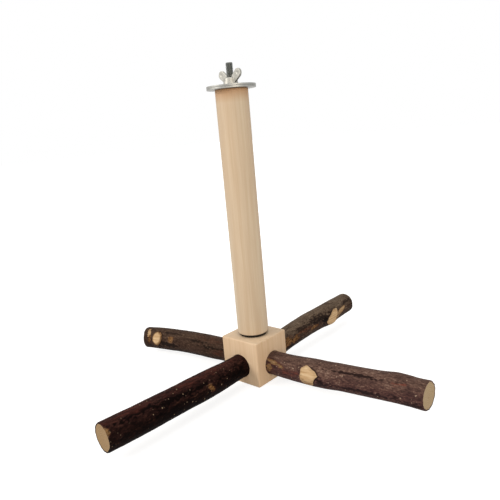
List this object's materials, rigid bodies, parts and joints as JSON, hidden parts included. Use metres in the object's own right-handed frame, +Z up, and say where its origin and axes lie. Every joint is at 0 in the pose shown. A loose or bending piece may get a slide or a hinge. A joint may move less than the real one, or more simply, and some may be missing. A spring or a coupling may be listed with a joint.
{
  "type": "bird cage perch",
  "caption": "Swivelling cross perch: natural branches in a wooden hub under a turned stem, with a washer and wing nut clamp for cage wires at the top.",
  "frame": {"origin": "centre of the hub block's underside, on the swivel axis", "axes": "+Z up the stem to the threaded stud, +X along the right branch, -Y along the front branch"},
  "size_m": [0.2955, 0.3162, 0.2693],
  "materials": {
    "turned_wood": "sanded bare pale hardwood",
    "block_wood": "sanded bare pale softwood",
    "bark": "natural dry bark",
    "zinc_thread": "rolled thread, dull zinc plate",
    "zinc_plate": "bright zinc plate",
    "zinc_cast": "cast, bright zinc plate",
    "nylon": "moulded"
  },
  "bodies": {
    "stem_body": {"stem": "turned_wood", "hanger_bolt": "zinc_thread", "seat_washer": "zinc_plate", "pivot_washer": "zinc_plate", "pivot_bolt": "zinc_thread", "nut_washer": "zinc_plate", "lock_nut": "zinc_plate", "lock_nut_ring": "nylon"},
    "cross_body": {"hub_block": "block_wood", "branch_right": "bark", "branch_front": "bark", "branch_left": "bark", "branch_back": "bark", "branch_screws": "zinc_thread"},
    "cage_washer_body": {"cage_washer": "zinc_plate"},
    "wing_nut_body": {"wing_nut": "zinc_cast"}
  },
  "joints": [
    {"name": "cross_swivel", "type": "hinge", "parent": "stem_body", "child": "cross_body", "pos_m": [0, 0, 0.04], "axis": [0, 0, 1], "continuous": true},
    {"name": "washer_lift", "type": "slide", "parent": "stem_body", "child": "cage_washer_body", "axis": [0, 0, 1], "range_m": [0, 0.01]},
    {"name": "wing_nut_turn", "type": "hinge", "parent": "cage_washer_body", "child": "wing_nut_body", "pos_m": [0, 0, 0.252], "axis": [0, 0, 1], "range_deg": [0, 3600.5]}
  ],
  "couplings": [
    {"joint": "wing_nut_turn", "follows": "washer_lift", "rad_per_m": 6283.2}
  ]
}
